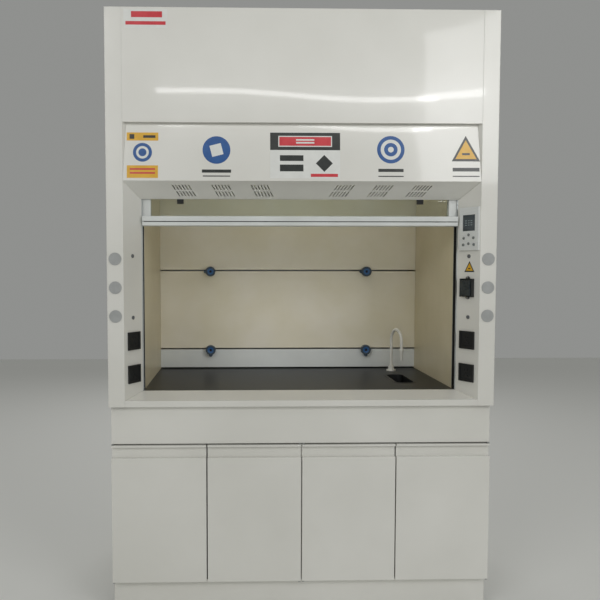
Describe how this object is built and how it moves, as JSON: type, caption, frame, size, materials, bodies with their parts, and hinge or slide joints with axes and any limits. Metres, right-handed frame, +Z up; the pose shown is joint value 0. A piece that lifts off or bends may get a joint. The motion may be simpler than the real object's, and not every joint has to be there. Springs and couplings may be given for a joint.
{
  "type": "fume hood",
  "caption": "Floor-standing laboratory fume hood: counterweighted glass sash over a lined chamber with baffles, cup sink and tap, on a steel base cabinet with doors.",
  "frame": {"origin": "on the floor under the middle of the hood", "axes": "+Z up, +X to the right seen from the front, the front faces -Y"},
  "size_m": [1.5, 0.85, 2.45],
  "materials": {
    "enamel": "glossy white powder coat",
    "enamel_door": "glossy white powder coat on the doors",
    "lining": "beige grey compact laminate, satin",
    "lining_cool": "cool grey compact laminate, satin",
    "knob_blue": "blue moulded polypropylene",
    "aluminium": "satin anodised extrusion",
    "sash_white": "white coated extrusion, satin",
    "rubber": "black moulded rubber",
    "glass": "clear toughened safety glass",
    "steel": "zinc plated steel",
    "weight": "bare bright bar",
    "rope": "stainless wire rope",
    "panel_grey": "brushed fascia",
    "display": "dark window",
    "key_grey": "moulded keys",
    "black_plastic": "black moulded plastic",
    "smoky": "smoky clear cover",
    "cap_grey": "grey moulded caps",
    "worktop": "dark grey ceramic slab, satin",
    "sink_black": "black polypropylene",
    "tap_white": "pale grey polypropylene",
    "lens": "opal diffuser",
    "collar_steel": "galvanised spigot"
  },
  "bodies": {
    "hood": {"base_carcass": "enamel", "base_divider": "enamel", "apron": "enamel", "toe_kick": "enamel", "levelling_feet": "steel", "hinge_plates": "steel", "side_panel_left": "enamel", "side_panel_right": "enamel", "post_left": "enamel", "post_right": "enamel", "top_panel": "enamel", "header_panel": "enamel", "sill": "enamel", "roof_panel": "enamel", "exhaust_collar": "collar_steel", "rear_panel": "enamel", "liner_left": "lining", "liner_right": "lining", "liner_ceiling": "lining", "baffle_upper": "lining", "baffle_middle": "lining", "baffle_lower": "lining_cool", "sash_tracks": "aluminium", "sash_gaskets": "rubber", "sash_stops": "rubber", "shaft_brackets": "steel", "sash_cables": "rope", "control_panel": "panel_grey", "display_window": "display", "breaker_housing": "black_plastic", "sockets": "black_plastic", "hole_caps": "cap_grey", "worktop": "worktop", "cup_sink": "sink_black", "sink_drain": "sink_black", "faucet_base": "tap_white", "lamp_housing": "enamel", "lamp_lens": "lens"},
    "sash": {"sash_glass": "glass", "sash_frame": "sash_white", "sash_handle": "sash_white"},
    "pulley_shaft": {"pulley_shaft": "steel"},
    "counterweights": {"counterweights": "weight"},
    "faucet_spout": {"faucet_spout": "tap_white"},
    "breaker_lever": {"breaker_lever": "black_plastic"},
    "breaker_cover": {"breaker_cover": "smoky"},
    "door_1": {"door_1": "enamel_door"},
    "door_2": {"door_2": "enamel_door"},
    "door_3": {"door_3": "enamel_door"},
    "door_4": {"door_4": "enamel_door"},
    "knob_upper_left": {"knob_upper_left": "knob_blue"},
    "knob_upper_right": {"knob_upper_right": "knob_blue"},
    "knob_lower_left": {"knob_lower_left": "knob_blue"},
    "knob_lower_right": {"knob_lower_right": "knob_blue"},
    "key_up": {"key_up": "key_grey"},
    "key_down": {"key_down": "key_grey"},
    "key_left": {"key_left": "key_grey"},
    "key_right": {"key_right": "key_grey"},
    "key_fan": {"key_fan": "key_grey"},
    "key_lamp": {"key_lamp": "key_grey"}
  },
  "joints": [
    {"name": "door_1_hinge", "type": "hinge", "parent": "hood", "child": "door_1", "pos_m": [-0.7388, -0.4035, 0.4], "axis": [0, 0, -1], "range_deg": [0, 110]},
    {"name": "door_2_hinge", "type": "hinge", "parent": "hood", "child": "door_2", "pos_m": [-0.0075, -0.4035, 0.4], "axis": [0, 0, 1], "range_deg": [0, 90]},
    {"name": "door_3_hinge", "type": "hinge", "parent": "hood", "child": "door_3", "pos_m": [0.0075, -0.4035, 0.4], "axis": [0, 0, -1], "range_deg": [0, 90]},
    {"name": "door_4_hinge", "type": "hinge", "parent": "hood", "child": "door_4", "pos_m": [0.7388, -0.4035, 0.4], "axis": [0, 0, 1], "range_deg": [0, 110]},
    {"name": "sash_slide", "type": "slide", "parent": "hood", "child": "sash", "axis": [0, 0, 1], "range_m": [-0.6465, 0.0485], "deforming": ["sash_cables"]},
    {"name": "counterweight_slide", "type": "slide", "parent": "hood", "child": "counterweights", "axis": [0, 0, 1], "range_m": [-0.0485, 0.6465], "deforming": ["sash_cables"]},
    {"name": "pulley_spin", "type": "hinge", "parent": "hood", "child": "pulley_shaft", "pos_m": [0, -0.269, 2.29], "axis": [1, 0, 0], "range_deg": [-930, 930]},
    {"name": "knob_upper_left_turn", "type": "hinge", "parent": "hood", "child": "knob_upper_left", "pos_m": [-0.383, 0.2815, 1.359], "axis": [0, -1, 0], "range_deg": [0, 360]},
    {"name": "knob_upper_right_turn", "type": "hinge", "parent": "hood", "child": "knob_upper_right", "pos_m": [0.383, 0.2815, 1.359], "axis": [0, -1, 0], "range_deg": [0, 360]},
    {"name": "knob_lower_left_turn", "type": "hinge", "parent": "hood", "child": "knob_lower_left", "pos_m": [-0.383, 0.2815, 0.973], "axis": [0, -1, 0], "range_deg": [0, 360]},
    {"name": "knob_lower_right_turn", "type": "hinge", "parent": "hood", "child": "knob_lower_right", "pos_m": [0.383, 0.2815, 0.973], "axis": [0, -1, 0], "range_deg": [0, 360]},
    {"name": "faucet_swivel", "type": "hinge", "parent": "hood", "child": "faucet_spout", "pos_m": [0.492, 0.1845, 0.88], "axis": [0, 0, 1], "range_deg": [-85, 75]},
    {"name": "breaker_toggle", "type": "hinge", "parent": "hood", "child": "breaker_lever", "pos_m": [0.6585, -0.375, 1.296], "axis": [0.5145, -0.8575, 0], "range_deg": [0, 50]},
    {"name": "breaker_cover_hinge", "type": "hinge", "parent": "hood", "child": "breaker_cover", "pos_m": [0.64907, -0.38066, 1.322], "axis": [-0.5145, 0.8575, 0], "range_deg": [0, 100]},
    {"name": "key_up_press", "type": "slide", "parent": "hood", "child": "key_up", "axis": [0.8575, 0.5145, 0], "range_m": [0, 0.001], "stiffness_N_per_m": 400, "springref_m": -0.001},
    {"name": "key_down_press", "type": "slide", "parent": "hood", "child": "key_down", "axis": [0.8575, 0.5145, 0], "range_m": [0, 0.001], "stiffness_N_per_m": 400, "springref_m": -0.001},
    {"name": "key_left_press", "type": "slide", "parent": "hood", "child": "key_left", "axis": [0.8575, 0.5145, 0], "range_m": [0, 0.001], "stiffness_N_per_m": 400, "springref_m": -0.001},
    {"name": "key_right_press", "type": "slide", "parent": "hood", "child": "key_right", "axis": [0.8575, 0.5145, 0], "range_m": [0, 0.001], "stiffness_N_per_m": 400, "springref_m": -0.001},
    {"name": "key_fan_press", "type": "slide", "parent": "hood", "child": "key_fan", "axis": [0.8575, 0.5145, 0], "range_m": [0, 0.001], "stiffness_N_per_m": 400, "springref_m": -0.001},
    {"name": "key_lamp_press", "type": "slide", "parent": "hood", "child": "key_lamp", "axis": [0.8575, 0.5145, 0], "range_m": [0, 0.001], "stiffness_N_per_m": 400, "springref_m": -0.001}
  ],
  "couplings": [
    {"joint": "counterweight_slide", "follows": "sash_slide", "ratio": -1},
    {"joint": "pulley_spin", "follows": "sash_slide", "rad_per_m": -25}
  ]
}
